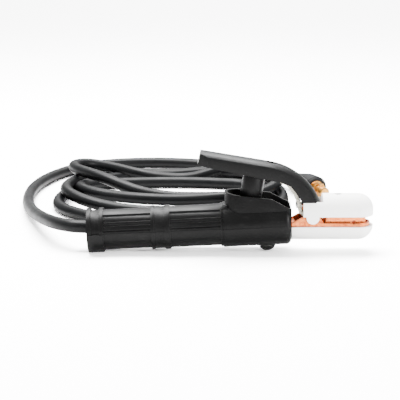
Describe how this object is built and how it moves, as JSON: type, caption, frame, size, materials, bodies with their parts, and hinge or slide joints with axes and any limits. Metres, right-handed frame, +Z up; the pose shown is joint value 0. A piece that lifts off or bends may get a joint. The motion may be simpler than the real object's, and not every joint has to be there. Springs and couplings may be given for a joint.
{
  "type": "welding electrode holder",
  "caption": "Spring-closed electrode holder with ribbed grip, squeeze lever, copper jaws under white insulators, and a loose coil of cable ending in a plug.",
  "frame": {"origin": "middle of the holder's footprint, on the surface that it rests on", "axes": "+X from the grip to the jaws, +Y away from the side seen first, +Z up"},
  "size_m": [0.2966, 0.3345, 0.0808],
  "materials": {
    "grip_plastic": "satin, fine moulded grain",
    "head_plastic": "satin, fine moulded grain",
    "lever_plastic": "satin, fine moulded grain",
    "cap_plastic": "satin",
    "insulator_white": "matte, glass filled",
    "jaw_copper": "bright pressed and machined copper alloy",
    "ferrule_copper": "plain",
    "plug_brass": "turned",
    "socket_brass": "turned",
    "arm_steel": "dull zinc plated",
    "fastener_steel": "zinc plated",
    "black_steel": "black oxide",
    "spring_steel": "plain",
    "cable_rubber": "smooth, faintly ribbed",
    "boot_rubber": "smooth"
  },
  "bodies": {
    "root": {"handle_grip": "grip_plastic", "handle_screw": "fastener_steel", "head_shell": "head_plastic", "head_screw": "black_steel", "spring_seat": "cap_plastic", "spring": "spring_steel", "lower_jaw": "jaw_copper", "pivot_pin": "fastener_steel", "lower_insulator": "insulator_white", "lower_insulator_screw": "fastener_steel", "cable_socket": "socket_brass", "cable_set_screws": "fastener_steel", "cable_ferrule": "ferrule_copper", "cable_strands": "ferrule_copper", "cable_in_grip": "cable_rubber", "cable_lead": "cable_rubber", "cable_coil": "cable_rubber", "cable_tail": "cable_rubber", "plug_boot": "boot_rubber", "plug_pin": "plug_brass", "plug_set_screws": "fastener_steel", "plug_ferrule": "ferrule_copper", "plug_strands": "ferrule_copper"},
    "lever": {"lever_arm": "arm_steel", "lever_cover": "lever_plastic", "lever_cover_screw": "fastener_steel", "lever_cover_nut": "fastener_steel", "spring_cap": "cap_plastic", "cap_rivet": "fastener_steel", "jaw_rivets": "fastener_steel", "upper_jaw": "jaw_copper", "upper_insulator": "insulator_white", "upper_insulator_screw": "fastener_steel"}
  },
  "joints": [
    {"name": "lever_pivot", "type": "hinge", "parent": "root", "child": "lever", "pos_m": [0.0644, 0, 0.029], "axis": [0, -1, 0], "range_deg": [0, 12], "stiffness_Nm_per_rad": 18, "springref_deg": -9.74, "deforming": ["spring"]}
  ]
}
